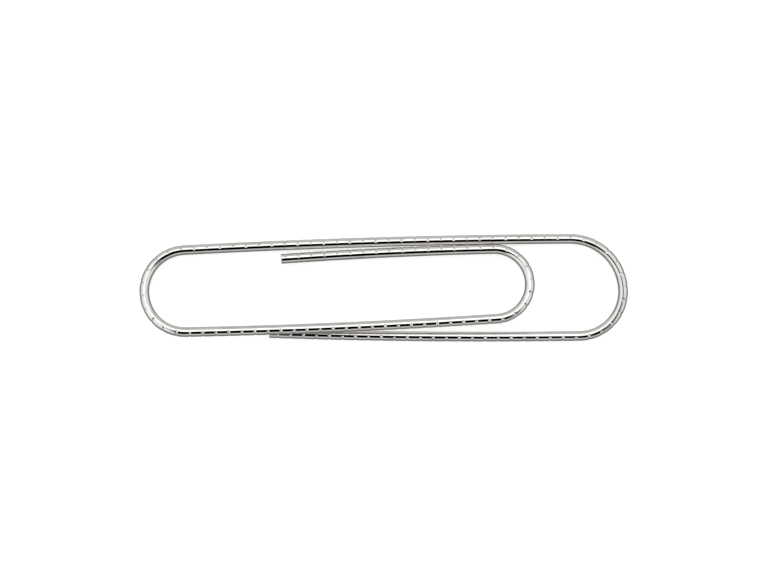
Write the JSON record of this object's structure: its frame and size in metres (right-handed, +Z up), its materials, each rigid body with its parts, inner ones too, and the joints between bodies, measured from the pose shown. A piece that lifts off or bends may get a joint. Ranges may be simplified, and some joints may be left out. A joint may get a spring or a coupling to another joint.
{
  "type": "paper clip",
  "caption": "Large wire paper clip: serrated steel wire bent into nested loops that spring apart to grip sheets of paper.",
  "frame": {"origin": "on the desk, under the middle of the clip's outline", "axes": "+X along the clip from the heel to the outer bend, +Y across it towards the spine, +Z up from the desk"},
  "size_m": [0.05, 0.011, 0.002],
  "materials": {
    "wire": "bright plated steel, smooth, with fine drawing marks along the wire"
  },
  "bodies": {
    "outer_leg": {"outer_leg": "wire", "outer_bend_leg_half": "wire"},
    "spine_loop": {"outer_bend_spine_half": "wire", "spine": "wire", "heel_spine_half": "wire"},
    "tongue": {"heel_tongue_half": "wire", "tongue_leg": "wire", "nose_leg_half": "wire"},
    "tongue_tip": {"nose_tip_half": "wire", "tongue_tip": "wire"}
  },
  "joints": [
    {"name": "spine_lift", "type": "hinge", "parent": "outer_leg", "child": "spine_loop", "pos_m": [0.02451, -0.00033, 0.0005], "axis": [-0.0099, 1, 0], "range_deg": [0, 4], "stiffness_Nm_per_rad": 0.5},
    {"name": "tongue_lift", "type": "hinge", "parent": "spine_loop", "child": "tongue", "pos_m": [-0.02451, -0.00046, 0.00097], "axis": [0.0358, -0.9929, 0.1138], "range_deg": [0, 6], "stiffness_Nm_per_rad": 0.6},
    {"name": "tip_lift", "type": "hinge", "parent": "tongue", "child": "tongue_tip", "pos_m": [0.01489, 0.00059, 0.00109], "axis": [-0.0445, 0.9925, -0.1138], "range_deg": [0, 4], "stiffness_Nm_per_rad": 0.7}
  ]
}
